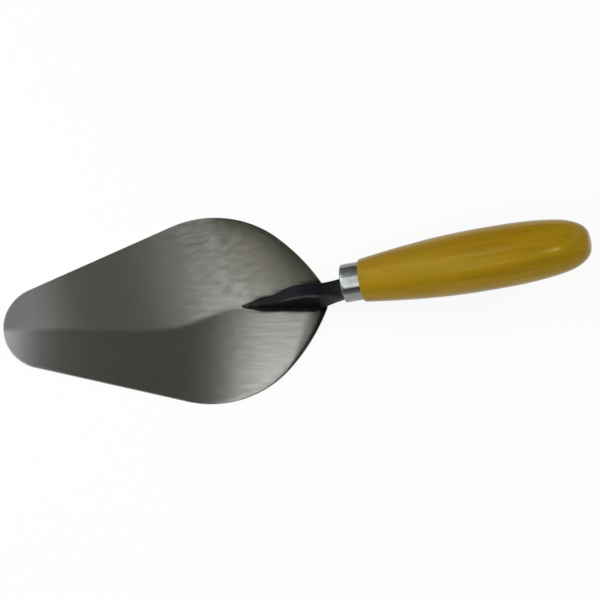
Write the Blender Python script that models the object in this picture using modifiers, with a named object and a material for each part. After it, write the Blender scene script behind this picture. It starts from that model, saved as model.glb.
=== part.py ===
"""Brick trowel with a round toe: steel blade, welded shank, steel ferrule and turned wooden handle.

The blade lies flat on the ground plane. +X runs along it from the toe to the handle, +Z is up, and the
origin is on the sole under the blade's widest station. Every length is in metres.
"""

import math

import bmesh
import bpy
from mathutils import Vector

# ---- Blade: outline seen from above ----
TOE_REACH = 0.1163  # widest station to the toe's tip
HEEL_REACH = 0.0642  # widest station to the heel's tip
BLADE_HALF_WIDTH = 0.0546
TOE_RADIUS = 0.0242
SHOULDER_RADIUS = 0.0567  # the round stretch at the widest station
FLANK_RADIUS = 0.1135  # the long arc from the shoulder back to the heel
HEEL_RADIUS = 0.0155
ARC_STEP = math.radians(3.0)

# ---- Blade: thickness, ground away from a low spine ----
SPINE_THICKNESS_HEEL = 0.0021
SPINE_THICKNESS_TOE = 0.0013
EDGE_FALL = 0.0007  # how far the ground faces fall from the spine to the widest edge
EDGE_ROUNDING = 0.0003
EDGE_ANGLE = math.radians(30.0)  # edges sharper than this are rounded
FLATNESS = math.radians(1.0)  # faces within this angle of each other are made one

# ---- Shank: a keel on the blade, a swan neck and a tang ----
FOOT_SETBACK = 0.0478  # heel's tip to the foot's pointed front
# Stations of the foot: distance from its front, half width of the base, half width of the top, height
FOOT_STATIONS = (
    (0.0000, 0.0008, 0.0005, 0.0009),
    (0.0065, 0.0017, 0.0012, 0.0024),
    (0.0130, 0.0027, 0.0020, 0.0046),
    (0.0190, 0.0033, 0.0029, 0.0078),
    (0.0250, 0.0039, 0.0037, 0.0124),
    (0.0310, 0.0045, 0.0039, 0.0149),
    (0.0380, 0.0053, 0.0040, 0.0158),
    (0.0434, 0.0059, 0.0041, 0.0156),
)
FOOT_CORNER = 0.0007  # chamfer of the foot's two upper edges
FOOT_ROOT_CORNER = 0.25  # chamfer of its lower edges, as a share of the upper ones
SETOVER_START = 0.0300  # distance from the foot's front where the neck starts to lean to one side
UNDERSIDE_ANGLE = math.radians(54.0)  # how steeply the neck's underside leaves the heel
NECK_RUN_ANGLE = math.radians(30.0)  # the slope of the underside where it meets the ferrule
NECK_WIDTH = 0.0116
NECK_THICKNESS = 0.0050
NECK_CORNER = 0.0009
NECK_STEPS = 7
TANG_WIDTH = 0.0056
TANG_THICKNESS = 0.0046
TANG_TIP = 0.0028  # width and thickness at the far end
TANG_LENGTH = 0.0680
TANG_CORNER = 0.0005
TANG_STEPS = 6

# ---- Weld beads along both sides of the foot ----
WELD_LEG = 0.0018
WELD_BULGE = 0.0003
WELD_START = 0.0035  # from the foot's front
WELD_END = 0.0015  # short of the foot's rear
WELD_RUN_IN = 0.0190  # from the foot's front to where the bead has its full leg
WELD_NOSE = 0.45  # the leg at the front, as a share of the full leg
WELD_CLIMB = 0.7  # how much of the foot's height the bead may cover
WELD_STEPS = 14

# ---- Ferrule and handle, measured along the handle's own axis from the ferrule's front ----
AXIS_HEIGHT = 0.0220  # the axis above the sole at the ferrule's front
AXIS_RISE = math.radians(11.5)
HEEL_GAP = 0.0089  # heel's tip to the ferrule's front, along X
FERRULE_RADIUS = 0.0106
FERRULE_LENGTH = 0.0107
FERRULE_WALL = 0.0008
FERRULE_LIP = 0.0008  # turned in over the front of the wood
FERRULE_ROUNDING = 0.0007
ROUNDING_POINTS = 4  # points round the ferrule's front edge
# The tang enters the ferrule off its middle, as shares of the ferrule's bore radius
SETOVER_SIDE = -0.15
SETOVER_DOWN = -0.40
# Stations of the wooden barrel: distance behind the ferrule, radius
BARREL = (
    (0.0000, 0.0113),
    (0.0006, 0.0120),
    (0.0097, 0.0132),
    (0.0252, 0.0150),
    (0.0427, 0.0165),
    (0.0587, 0.0172),
    (0.0737, 0.0173),
    (0.0877, 0.0171),
    (0.1007, 0.0162),
    (0.1117, 0.0147),
    (0.1192, 0.0126),
    (0.1245, 0.0095),
    (0.1271, 0.0062),
    (0.1279, 0.0030),
)
BARREL_POINTS = 2  # points drawn between two stations
TURNING_STEPS = 48

CLEARANCE = 0.0003  # the play left between pieces that touch
MERGE = 0.00001  # points nearer than this become one
CUT_TOLERANCE = 0.000001  # points this near a cutting plane count as on it

COLLECTION = "brick_trowel"
GUIDES = "brick_trowel_guides"


# ---- Derived places ----
def spine_thickness(x):
    """Thickness of the blade on its middle line."""
    along = (x + TOE_REACH) / (TOE_REACH + HEEL_REACH)
    return SPINE_THICKNESS_TOE + (SPINE_THICKNESS_HEEL - SPINE_THICKNESS_TOE) * along


AXIS_DIRECTION = Vector((math.cos(AXIS_RISE), 0.0, math.sin(AXIS_RISE)))
AXIS_UP = Vector((-math.sin(AXIS_RISE), 0.0, math.cos(AXIS_RISE)))
SIDE = Vector((0.0, 1.0, 0.0))
FERRULE_FRONT = Vector((HEEL_REACH + HEEL_GAP, 0.0, AXIS_HEIGHT))
FERRULE_BORE = FERRULE_RADIUS - FERRULE_WALL
FOOT_FRONT_X = HEEL_REACH - FOOT_SETBACK
NECK_END = (
    FERRULE_FRONT
    - AXIS_DIRECTION * CLEARANCE
    + SIDE * SETOVER_SIDE * FERRULE_BORE
    + AXIS_UP * SETOVER_DOWN * FERRULE_BORE
)


# ---- Helpers ----
def clear_scene():
    """Start from nothing, so that a second run gives the same trowel."""
    for obj in list(bpy.data.objects):
        bpy.data.objects.remove(obj, do_unlink=True)
    for name in (COLLECTION, GUIDES):
        old = bpy.data.collections.get(name)
        if old is not None:
            bpy.data.collections.remove(old)


def new_collection(name):
    """A collection under the scene."""
    collection = bpy.data.collections.new(name)
    bpy.context.scene.collection.children.link(collection)
    return collection


def principled(name, colour, roughness, metallic):
    """A plain Principled material."""
    material = bpy.data.materials.new(name)
    material.use_nodes = True
    shader = material.node_tree.nodes["Principled BSDF"]
    shader.inputs["Base Color"].default_value = (*colour, 1.0)
    shader.inputs["Roughness"].default_value = roughness
    shader.inputs["Metallic"].default_value = metallic
    return material


def mesh_object(name, bm, collection, material):
    """Turn a bmesh into an object with its faces pointing out."""
    bmesh.ops.recalc_face_normals(bm, faces=bm.faces)
    mesh = bpy.data.meshes.new(name)
    bm.to_mesh(mesh)
    bm.free()
    obj = bpy.data.objects.new(name, mesh)
    obj.data.materials.append(material)
    collection.objects.link(obj)
    return obj


def smoothstep(t):
    """0 to 1 with level ends, held outside that range."""
    t = min(max(t, 0.0), 1.0)
    return t * t * (3.0 - 2.0 * t)


def mix(a, b, t):
    """A value or a point part of the way from a to b."""
    return a + (b - a) * t


def interpolate(stations, at):
    """Read a table of stations at one distance, straight between its rows."""
    for low, high in zip(stations, stations[1:]):
        if at <= high[0]:
            t = (at - low[0]) / (high[0] - low[0])
            return [mix(p, q, t) for p, q in zip(low[1:], high[1:])]
    return list(stations[-1][1:])


def bezier(start, start_pull, end_pull, end, t):
    """A point on a cubic curve."""
    s = 1.0 - t
    return start * s**3 + start_pull * 3 * s * s * t + end_pull * 3 * s * t * t + end * t**3


def curve_through(points, count):
    """A smooth line through the points, count points to a span."""
    padded = [2 * points[0] - points[1], *points, 2 * points[-1] - points[-2]]
    line = []
    for before, start, end, after in zip(padded, padded[1:], padded[2:], padded[3:]):
        for i in range(count):
            pull = (end - before) / 6
            push = (after - start) / 6
            line.append(bezier(start, start + pull, end - push, end, i / count))
    line.append(points[-1])
    return line


def loft(name, rings, collection, material):
    """Skin a row of rings that have the same number of points, and close both ends."""
    bm = bmesh.new()
    loops = [[bm.verts.new(point) for point in ring] for ring in rings]
    for near, far in zip(loops, loops[1:]):
        for i in range(len(near)):
            j = (i + 1) % len(near)
            bm.faces.new((near[i], near[j], far[j], far[i]))
    bm.faces.new(loops[0])
    bm.faces.new(loops[-1])
    return mesh_object(name, bm, collection, material)


# ---- Blade ----
def arc(centre, radius, start, end):
    """Points along an arc in plan, both ends included."""
    steps = max(2, math.ceil(abs(end - start) / ARC_STEP))
    angles = [mix(start, end, i / steps) for i in range(steps + 1)]
    return [centre + radius * Vector((math.cos(a), math.sin(a))) for a in angles]


def bearing(origin, target):
    """The direction from one point to another, as an angle."""
    return math.atan2(target.y - origin.y, target.x - origin.x)


def half_outline():
    """One side of the blade from the toe's tip to the heel's tip: arcs that run into each other."""
    toe = Vector((TOE_RADIUS - TOE_REACH, 0.0))
    shoulder = Vector((0.0, BLADE_HALF_WIDTH - SHOULDER_RADIUS))
    heel = Vector((HEEL_REACH - HEEL_RADIUS, 0.0))

    # The straight side touches the toe and the shoulder.
    lean = math.acos((TOE_RADIUS - SHOULDER_RADIUS) / (shoulder - toe).length)
    side_normal = bearing(toe, shoulder) + lean

    # The flank's arc touches the shoulder and the heel from outside both.
    span = heel - shoulder
    to_shoulder = FLANK_RADIUS - SHOULDER_RADIUS
    to_heel = FLANK_RADIUS - HEEL_RADIUS
    along = (to_shoulder**2 - to_heel**2 + span.length_squared) / (2 * span.length)
    across = math.sqrt(to_shoulder**2 - along**2)
    unit = span.normalized()
    flank = shoulder + unit * along + Vector((unit.y, -unit.x)) * across

    flank_start = bearing(flank, shoulder)
    flank_end = bearing(flank, heel)
    points = arc(toe, TOE_RADIUS, math.pi, side_normal)
    points += arc(shoulder, SHOULDER_RADIUS, side_normal, flank_start)
    points += arc(flank, FLANK_RADIUS, flank_start, flank_end)[1:]
    points += arc(heel, HEEL_RADIUS, flank_end, 0.0)[1:]
    return points


def blade_outline():
    """The whole outline, once round."""
    near = half_outline()
    far = [Vector((p.x, -p.y)) for p in reversed(near[1:-1])]
    return near + far


def flat_plate(name, outline, thickness):
    """A plate with the given outline, its underside on the ground plane, as a bmesh."""
    curve = bpy.data.curves.new(name, "CURVE")
    curve.dimensions = "2D"
    curve.fill_mode = "BOTH"
    curve.extrude = thickness / 2
    spline = curve.splines.new("POLY")
    spline.points.add(len(outline) - 1)
    for point, place in zip(spline.points, outline):
        point.co = (place.x, place.y, 0.0, 1.0)
    spline.use_cyclic_u = True
    holder = bpy.data.objects.new(name, curve)
    bpy.context.scene.collection.objects.link(holder)
    evaluated = holder.evaluated_get(bpy.context.evaluated_depsgraph_get())
    mesh = bpy.data.meshes.new_from_object(evaluated)
    bm = bmesh.new()
    bm.from_mesh(mesh)
    bpy.data.objects.remove(holder, do_unlink=True)
    bpy.data.meshes.remove(mesh)
    bpy.data.curves.remove(curve)
    bmesh.ops.remove_doubles(bm, verts=bm.verts, dist=MERGE)
    bmesh.ops.translate(bm, verts=bm.verts, vec=(0.0, 0.0, thickness / 2))
    bmesh.ops.dissolve_limit(bm, angle_limit=FLATNESS, verts=bm.verts, edges=bm.edges)
    return bm


def grind(bm, point, normal):
    """Take away what lies above a plane and close the ground face."""
    everything = bm.verts[:] + bm.edges[:] + bm.faces[:]
    cut = bmesh.ops.bisect_plane(
        bm,
        geom=everything,
        plane_co=point,
        plane_no=normal,
        dist=CUT_TOLERANCE,
        clear_outer=True,
    )
    rim = [item for item in cut["geom_cut"] if isinstance(item, bmesh.types.BMEdge)]
    bmesh.ops.contextual_create(bm, geom=[edge for edge in rim if edge.is_boundary])


def make_blade(collection):
    """A plate whose upper face is ground into two flats, which fall from the spine and towards the toe."""
    bm = flat_plate("blade", blade_outline(), SPINE_THICKNESS_HEEL)
    toe_fall = (SPINE_THICKNESS_HEEL - SPINE_THICKNESS_TOE) / (TOE_REACH + HEEL_REACH)
    side_fall = EDGE_FALL / BLADE_HALF_WIDTH
    spine = Vector((0.0, 0.0, spine_thickness(0.0)))
    for side in (1.0, -1.0):
        grind(bm, spine, Vector((-toe_fall, side * side_fall, 1.0)))
    steel = principled("ground_steel", (0.36, 0.36, 0.34), 0.35, 1.0)
    blade = mesh_object("blade", bm, collection, steel)
    rounding = blade.modifiers.new("edge_rounding", "BEVEL")
    rounding.width = EDGE_ROUNDING
    rounding.segments = 2
    rounding.limit_method = "ANGLE"
    rounding.angle_limit = EDGE_ANGLE
    return blade


# ---- Shank ----
def foot_base(x):
    """Height of the foot's underside above the ground plane."""
    return spine_thickness(x) + CLEARANCE


def setover(x):
    """How far the neck has moved to the side at x."""
    start = FOOT_FRONT_X + SETOVER_START
    return NECK_END.y * smoothstep((x - start) / (NECK_END.x - start))


def bar_ring(low, high, half_low, half_high, corner_low, corner_high):
    """An eight-cornered section between its lowest and highest points, with its corners cut off."""
    rise = high - low
    up = rise.normalized()
    taper = (half_high - half_low) / rise.length
    ring = []
    for side in (1.0, -1.0):
        flat_low = low + SIDE * side * (half_low - corner_low)
        wide_low = low + SIDE * side * (half_low + taper * corner_low) + up * corner_low
        wide_high = high + SIDE * side * (half_high - taper * corner_high) - up * corner_high
        flat_high = high + SIDE * side * (half_high - corner_high)
        half = [flat_low, wide_low, wide_high, flat_high]
        ring += half if side > 0 else half[::-1]
    return ring


def foot_rings():
    """Upright sections of the foot, from its pointed front to the heel."""
    rings = []
    for distance, half_base, half_top, height in FOOT_STATIONS:
        x = FOOT_FRONT_X + distance
        low = Vector((x, setover(x), foot_base(x)))
        high = low + Vector((0.0, 0.0, height))
        # Near its front the foot is too slender for the full chamfer.
        corner = min(FOOT_CORNER, half_top / 2, height / 3)
        root_corner = corner * FOOT_ROOT_CORNER
        rings.append(bar_ring(low, high, half_base, half_top, root_corner, corner))
    return rings


def neck_rings():
    """Sections that turn from upright at the heel to square with the handle's axis.

    The underside and the top each follow a curve whose pulls are a third of its chord.
    """
    distance, half_base, half_top, height = FOOT_STATIONS[-1]
    x = FOOT_FRONT_X + distance
    low_start = Vector((x, 0.0, foot_base(x)))
    high_start = low_start + Vector((0.0, 0.0, height))
    low_end = NECK_END - AXIS_UP * NECK_THICKNESS / 2
    high_end = NECK_END + AXIS_UP * NECK_THICKNESS / 2
    low_end.y = high_end.y = 0.0
    low_pull = (low_end - low_start).length / 3
    high_pull = (high_end - high_start).length / 3
    leave = Vector((math.cos(UNDERSIDE_ANGLE), 0.0, math.sin(UNDERSIDE_ANGLE)))
    arrive = Vector((math.cos(NECK_RUN_ANGLE), 0.0, math.sin(NECK_RUN_ANGLE)))
    level = Vector((1.0, 0.0, 0.0))
    rings = []
    for i in range(1, NECK_STEPS + 1):
        t = i / NECK_STEPS
        low = bezier(
            low_start,
            low_start + leave * low_pull,
            low_end - arrive * low_pull,
            low_end,
            t,
        )
        high = bezier(
            high_start,
            high_start + level * high_pull,
            high_end - arrive * high_pull,
            high_end,
            t,
        )
        low.y = mix(setover(x), NECK_END.y, smoothstep(t))
        high.y = low.y
        blend = smoothstep(t)
        half_low = mix(half_base, NECK_WIDTH / 2, blend)
        half_high = mix(half_top, NECK_WIDTH / 2, blend)
        corner_low = mix(FOOT_CORNER * FOOT_ROOT_CORNER, NECK_CORNER, blend)
        corner_high = mix(FOOT_CORNER, NECK_CORNER, blend)
        rings.append(bar_ring(low, high, half_low, half_high, corner_low, corner_high))
    return rings


def tang_rings(play, lead, tail):
    """Sections of the tapered tang, grown by play all round and lengthened by lead and tail."""
    start = NECK_END
    end = FERRULE_FRONT + AXIS_DIRECTION * TANG_LENGTH
    run = (end - start).normalized()
    rings = []
    for i in range(TANG_STEPS + 1):
        t = i / TANG_STEPS
        centre = mix(start, end, t)
        if i == 0:
            centre = centre - run * lead
        if i == TANG_STEPS:
            centre = centre + run * tail
        half_width = mix(TANG_WIDTH, TANG_TIP, t) / 2 + play
        half_thickness = mix(TANG_THICKNESS, TANG_TIP, t) / 2 + play
        low = centre - AXIS_UP * half_thickness
        high = centre + AXIS_UP * half_thickness
        rings.append(bar_ring(low, high, half_width, half_width, TANG_CORNER, TANG_CORNER))
    return rings


def make_shank(collection, enamel):
    """Foot, neck and tang in one forging. The neck stops at a shoulder in front of the ferrule."""
    rings = foot_rings() + neck_rings() + tang_rings(0.0, 0.0, 0.0)
    return loft("shank", rings, collection, enamel)


# ---- Welds ----
def weld_ring(distance, side):
    """Section of a fillet bead between the foot's flank and the blade."""
    half_base, half_top, height = interpolate(FOOT_STATIONS, distance)
    x = FOOT_FRONT_X + distance
    leg = WELD_LEG * mix(WELD_NOSE, 1.0, smoothstep(distance / WELD_RUN_IN))
    leg = min(leg, height * WELD_CLIMB)
    base = foot_base(x)
    lean = (half_top - half_base) / height
    root = half_base + CLEARANCE
    corners = (
        (root, base),
        (root + leg, base),
        (root + leg / 2 + WELD_BULGE, base + leg / 2 + WELD_BULGE),
        (root + lean * leg, base + leg),
    )
    return [Vector((x, side * y + setover(x), z)) for y, z in corners]


def make_weld(name, side, collection, enamel):
    """One bead, from near the foot's front to just short of its rear."""
    start = WELD_START
    end = FOOT_STATIONS[-1][0] - WELD_END
    distances = [mix(start, end, i / WELD_STEPS) for i in range(WELD_STEPS + 1)]
    rings = [weld_ring(distance, side) for distance in distances]
    return loft(name, rings, collection, enamel)


# ---- Ferrule and handle ----
def turned(name, profile, collection, material, parent):
    """Turn a profile of (radius, height) points about the parent's Z axis.

    The profile runs down its outer side. One that starts away from the axis is a closed ring.
    """
    bm = bmesh.new()
    verts = [bm.verts.new((radius, 0.0, height)) for radius, height in profile]
    closed = profile[0][0] > 0.0
    following = verts[1:] + verts[:1] if closed else verts[1:]
    for near, far in zip(verts, following):
        bm.edges.new((near, far))
    mesh = bpy.data.meshes.new(name)
    bm.to_mesh(mesh)
    bm.free()
    obj = bpy.data.objects.new(name, mesh)
    obj.data.materials.append(material)
    obj.parent = parent
    collection.objects.link(obj)
    screw = obj.modifiers.new("turning", "SCREW")
    screw.axis = "Z"
    screw.steps = TURNING_STEPS
    screw.render_steps = TURNING_STEPS
    screw.use_merge_vertices = True
    screw.merge_threshold = MERGE
    screw.use_smooth_shade = True
    return obj


def rounded_corner(radius, height, rounding, start):
    """A quarter turn about a centre at the given radius and height."""
    points = []
    for i in range(ROUNDING_POINTS):
        angle = start - math.pi / 2 * i / (ROUNDING_POINTS - 1)
        points.append((radius + rounding * math.cos(angle), height + rounding * math.sin(angle)))
    return points


def ferrule_profile():
    """A short tube with its front edge rounded over into a lip."""
    inner = FERRULE_BORE
    profile = [(inner, FERRULE_LENGTH), (FERRULE_RADIUS, FERRULE_LENGTH)]
    profile += rounded_corner(FERRULE_RADIUS - FERRULE_ROUNDING, FERRULE_ROUNDING, FERRULE_ROUNDING, 0.0)
    lip = inner - FERRULE_LIP
    profile += [(lip, 0.0), (lip, FERRULE_WALL), (inner, FERRULE_WALL)]
    return profile


def handle_profile():
    """The barrel from the butt's middle down to the ferrule, then the spigot inside the ferrule."""
    shoulder = FERRULE_LENGTH + CLEARANCE
    stations = [Vector((radius, shoulder + distance)) for distance, radius in BARREL]
    barrel = curve_through(stations, BARREL_POINTS)
    spigot = FERRULE_BORE - CLEARANCE
    spigot_front = FERRULE_WALL + CLEARANCE
    profile = [(0.0, stations[-1].y)]
    profile += [tuple(point) for point in reversed(barrel)]
    profile += [(spigot, shoulder), (spigot, spigot_front), (0.0, spigot_front)]
    return profile


def make_handle(collection, guides, axis):
    """The wood, with the hole that the tang is driven into."""
    varnish = principled("yellow_varnished_wood", (0.42, 0.25, 0.02), 0.30, 0.0)
    handle = turned("handle", handle_profile(), collection, varnish, axis)
    guide_finish = principled("guide", (1.0, 0.2, 0.2), 0.5, 0.0)
    bore = loft("tang_hole", tang_rings(CLEARANCE, FERRULE_WALL, CLEARANCE), guides, guide_finish)
    bore.hide_render = True
    bore.display_type = "WIRE"
    cut = handle.modifiers.new("tang_hole", "BOOLEAN")
    cut.operation = "DIFFERENCE"
    cut.solver = "EXACT"
    cut.object = bore
    return handle


def make_ferrule(collection, axis):
    """The steel sleeve that keeps the wood from splitting."""
    plating = principled("bright_steel", (0.60, 0.63, 0.63), 0.22, 1.0)
    return turned("ferrule", ferrule_profile(), collection, plating, axis)


def main():
    clear_scene()
    trowel = new_collection(COLLECTION)
    guides = new_collection(GUIDES)

    axis = bpy.data.objects.new("handle_axis", None)
    axis.location = FERRULE_FRONT
    axis.rotation_euler = (0.0, math.pi / 2 - AXIS_RISE, 0.0)
    trowel.objects.link(axis)

    enamel = principled("black_enamel", (0.012, 0.013, 0.018), 0.40, 0.0)
    make_blade(trowel)
    make_shank(trowel, enamel)
    make_weld("weld_left", 1.0, trowel, enamel)
    make_weld("weld_right", -1.0, trowel, enamel)
    make_ferrule(trowel, axis)
    make_handle(trowel, guides, axis)


main()
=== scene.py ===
# %% [markdown]
# # A brick trowel
#
# The trowel is already built as a measured CAD model: a blade, a shank, two weld beads, a ferrule and a
# handle. That model is exact but plain. Here each piece gets the finer surface and the finish of the real
# tool: ground steel, black enamel, bright steel and yellow varnished wood. The CAD model is loaded first,
# because every piece takes its place from it.

# %% Load the measured model
import math

import bmesh
import bpy
from mathutils import Matrix, Vector
from mathutils.kdtree import KDTree


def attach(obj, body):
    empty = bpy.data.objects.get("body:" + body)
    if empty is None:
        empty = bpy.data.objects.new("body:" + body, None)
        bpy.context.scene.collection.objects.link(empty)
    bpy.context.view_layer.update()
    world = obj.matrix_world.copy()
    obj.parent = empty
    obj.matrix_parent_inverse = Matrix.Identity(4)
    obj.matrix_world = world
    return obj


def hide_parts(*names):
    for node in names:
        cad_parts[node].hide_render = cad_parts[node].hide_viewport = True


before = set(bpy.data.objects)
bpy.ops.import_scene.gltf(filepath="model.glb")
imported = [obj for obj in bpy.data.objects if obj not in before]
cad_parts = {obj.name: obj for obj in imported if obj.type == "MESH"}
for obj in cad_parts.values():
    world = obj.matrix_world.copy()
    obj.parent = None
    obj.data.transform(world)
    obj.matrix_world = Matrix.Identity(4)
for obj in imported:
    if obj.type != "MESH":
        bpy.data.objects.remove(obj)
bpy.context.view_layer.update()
print("model:", ", ".join(sorted(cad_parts)))

# %% [markdown]
# ## The camera
#
# The trowel lies on its blade and is seen from above, 20 degrees off the vertical, with the camera rolled a
# little so that the handle points up to the right. A long lens from three metres keeps the perspective as
# flat as in the photograph. The camera's three axes are written out, because a roll is easier to read that
# way than as three turns.

# %% Camera
X_AXIS = Vector((1.0, 0.0, 0.0))
Y_AXIS = Vector((0.0, 1.0, 0.0))
Z_AXIS = Vector((0.0, 0.0, 1.0))

TILT = math.radians(20.0)
ROLL = math.radians(5.83)
DISTANCE = 3.095
AIM = Vector((0.048583, 0.000682, 0.0012))
LENS_MM = 335.93
SENSOR_MM = 36.0

upward = Vector((0.0, math.cos(TILT), math.sin(TILT)))
back = Vector((0.0, -math.sin(TILT), math.cos(TILT)))
right = X_AXIS * math.cos(ROLL) - upward * math.sin(ROLL)
top = X_AXIS * math.sin(ROLL) + upward * math.cos(ROLL)

camera = bpy.data.objects.new("camera", bpy.data.cameras.new("camera"))
camera.data.lens = LENS_MM
camera.data.sensor_width = SENSOR_MM
camera_place = Matrix((right, top, back)).transposed().to_4x4()
camera_place.translation = AIM + back * DISTANCE
camera.matrix_world = camera_place
bpy.context.scene.collection.objects.link(camera)
bpy.context.scene.camera = camera
print("camera at", [round(c, 3) for c in camera_place.translation])

# %% [markdown]
# ## Building with nodes
#
# Every finish below is a small tree of shader nodes. These helpers add a node, join its sockets and set its
# plain values in one call, so that each finish reads as a list of what it is made of.

# %% Material helpers
def new_finish(name):
    """A material with an empty tree, its Principled shader and its output."""
    material = bpy.data.materials.new(name)
    material.use_nodes = True
    tree = material.node_tree
    tree.nodes.clear()
    output = tree.nodes.new("ShaderNodeOutputMaterial")
    shader = tree.nodes.new("ShaderNodeBsdfPrincipled")
    tree.links.new(shader.outputs["BSDF"], output.inputs["Surface"])
    return material, tree, shader


def feed(tree, socket, value):
    """Give a socket either a plain value or another node's output."""
    if isinstance(value, bpy.types.NodeSocket):
        tree.links.new(value, socket)
    else:
        socket.default_value = value


def object_place(tree):
    """Where a point is on the object, in metres."""
    return tree.nodes.new("ShaderNodeTexCoord").outputs["Object"]


def turned_place(tree, place, turn=0.0, per_metre=(1.0, 1.0, 1.0)):
    """The place in a frame turned about Z, counted in this many steps per metre along each axis."""
    node = tree.nodes.new("ShaderNodeMapping")
    node.vector_type = "TEXTURE"
    feed(tree, node.inputs["Vector"], place)
    node.inputs["Rotation"].default_value = (0.0, 0.0, turn)
    node.inputs["Scale"].default_value = [1.0 / steps for steps in per_metre]
    return node.outputs["Vector"]


def split_axes(tree, vector):
    """The X, Y and Z of a vector, each as an output of its own."""
    node = tree.nodes.new("ShaderNodeSeparateXYZ")
    tree.links.new(vector, node.inputs["Vector"])
    return node.outputs


print("material helpers ready")

# %% Value helpers
def noise(tree, place, scale=1.0, detail=3.0, roughness=0.5, distortion=0.0):
    """Soft random values around one half."""
    node = tree.nodes.new("ShaderNodeTexNoise")
    feed(tree, node.inputs["Vector"], place)
    node.inputs["Scale"].default_value = scale
    node.inputs["Detail"].default_value = detail
    node.inputs["Roughness"].default_value = roughness
    node.inputs["Distortion"].default_value = distortion
    return node.outputs["Fac"]


def sums(tree, operation, a, b=0.0, c=0.0):
    """One step of arithmetic."""
    node = tree.nodes.new("ShaderNodeMath")
    node.operation = operation
    for socket, value in zip(node.inputs, (a, b, c)):
        feed(tree, socket, value)
    return node.outputs["Value"]


def spread(tree, value, low, high, to_low=0.0, to_high=1.0):
    """Stretch the range low..high to to_low..to_high, with level ends, and hold it there."""
    node = tree.nodes.new("ShaderNodeMapRange")
    node.interpolation_type = "SMOOTHSTEP"
    feed(tree, node.inputs["Value"], value)
    for name, number in zip(("From Min", "From Max", "To Min", "To Max"), (low, high, to_low, to_high)):
        feed(tree, node.inputs[name], number)
    return node.outputs["Result"]


# A Mix node lists sockets for every kind of data. These are the places of those used here.
MIX_SHARE = 0
MIX_VECTORS, MIX_VECTOR_RESULT = (4, 5), 1
MIX_COLOURS, MIX_COLOUR_RESULT = (6, 7), 2


def blend_colours(tree, share, first, second, kind="MIX"):
    """The first colour with this share of the second one mixed or multiplied in."""
    node = tree.nodes.new("ShaderNodeMix")
    node.data_type = "RGBA"
    node.blend_type = kind
    feed(tree, node.inputs[MIX_SHARE], share)
    for socket, colour in zip(MIX_COLOURS, (first, second)):
        feed(tree, node.inputs[socket], (*colour, 1.0) if isinstance(colour, tuple) else colour)
    return node.outputs[MIX_COLOUR_RESULT]


def read(tree, name):
    """A number stored on the piece's points."""
    node = tree.nodes.new("ShaderNodeAttribute")
    node.attribute_name = name
    return node.outputs["Fac"]


def relief(tree, height, depth):
    """Turn heights into fine relief, so deep in metres."""
    node = tree.nodes.new("ShaderNodeBump")
    node.inputs["Distance"].default_value = depth
    feed(tree, node.inputs["Height"], height)
    return node.outputs["Normal"]


print("value helpers ready")

# %% [markdown]
# ## Building with meshes
#
# Pieces are made with bmesh operators. Three small functions give soft steps and blends.

# %% Mesh helpers
SHARP = math.radians(35.0)


def finish_piece(bm, name, stands_for, finish):
    """Make the object, give it its finish, hang it on the root body and hide the CAD node it takes the
    place of.
    """
    mesh = bpy.data.meshes.new(name)
    bm.to_mesh(mesh)
    bm.free()
    mesh.shade_smooth()
    mesh.set_sharp_from_angle(angle=SHARP)
    piece = bpy.data.objects.new(name, mesh)
    piece.data.materials.append(finish)
    bpy.context.scene.collection.objects.link(piece)
    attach(piece, "root")
    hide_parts(stands_for)
    size = [round(1000 * d, 1) for d in piece.dimensions]
    print(f"{name}: {len(mesh.polygons)} faces, {size} mm")
    return piece


def smoothstep(t):
    """0 to 1 with level ends."""
    t = min(max(t, 0.0), 1.0)
    return t * t * (3.0 - 2.0 * t)


def rise(value, start, length):
    """0 up to start and 1 from length further on, with level ends."""
    return smoothstep((value - start) / length)


def mix(a, b, t):
    """A value or a point between two others."""
    return a + (b - a) * t


print("mesh helpers ready")

# %% [markdown]
# ## Ground steel
#
# The blade is ground on a belt, and the belt's marks run nearly lengthwise: they lean a little one way on
# one flat and the other way on the other. Such marks smear a reflection across themselves and keep it
# sharp along themselves. Modelling the marks would take millions of faces, so the shader does it:
# anisotropy smears the reflection, with a tangent that lies across the marks of each flat. Every pattern
# is noise that is drawn out along the marks. Fine streaks vary the roughness and the tone, and a coarser,
# duller mottling comes in towards the heel, most strongly on the far flat. The far flat's colour is made
# brighter than the near flat's as painted light. Four numbers stored on the blade's points say which flat
# a point is on and how much painted shade it gets: along the rim and at the toe, as the neck's and the
# foot's painted shadows, and as a brownish painted shade on the far side of the heel.

# %% Ground steel values
BELT_LEAN_FAR = math.radians(11.0)
BELT_LEAN_NEAR = math.radians(-6.0)

# Steps per metre along, across and through the plate, on the far and on the near flat.
STREAK_STEPS = ((190.0, 700.0, 1.0), (150.0, 800.0, 1.0))
MOTTLE_STEPS = ((140.0, 390.0, 1.0), (80.0, 530.0, 1.0))
STREAK_RELIEF = 0.0000012
MOTTLE_WEIGHT, STREAK_WEIGHT = 0.55, 0.45

# Where along X the mottling starts, is full, and has lost most of the far flat's surplus.
MOTTLE_STARTS, MOTTLE_FULL, MOTTLE_EASES = -0.045, 0.010, 0.036
MOTTLE_SHARE = (0.08, 0.44)
FAR_SURPLUS = (0.95, 0.25)

STREAKED_STEEL = ((0.297, 0.297, 0.283), (0.332, 0.332, 0.317))
DULL_STEEL = (0.216, 0.213, 0.197)
# The far flat's colour is made brighter than the near flat's: painted light.
FAR_FLAT_PAINTED_LIGHT = (1.52, 1.52, 1.51)
# Painted shade on the heel's rim and the toe's far half, and the neck's painted shadow.
RIM_PAINTED_SHADE_COLOUR = (0.022, 0.0213, 0.019)
# A brownish painted shade on the far side of the heel.
HEEL_PAINTED_SHADE_GAIN = (0.85, 0.833, 0.745)
# The foot's painted shadow on the blade, near black.
FOOT_SHADOW_COLOUR = (0.012, 0.0125, 0.015)
STEEL_ROUGHNESS = (0.208, 0.236)

print("belt marks lean", BELT_LEAN_FAR, "and", BELT_LEAN_NEAR, "radians")

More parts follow.
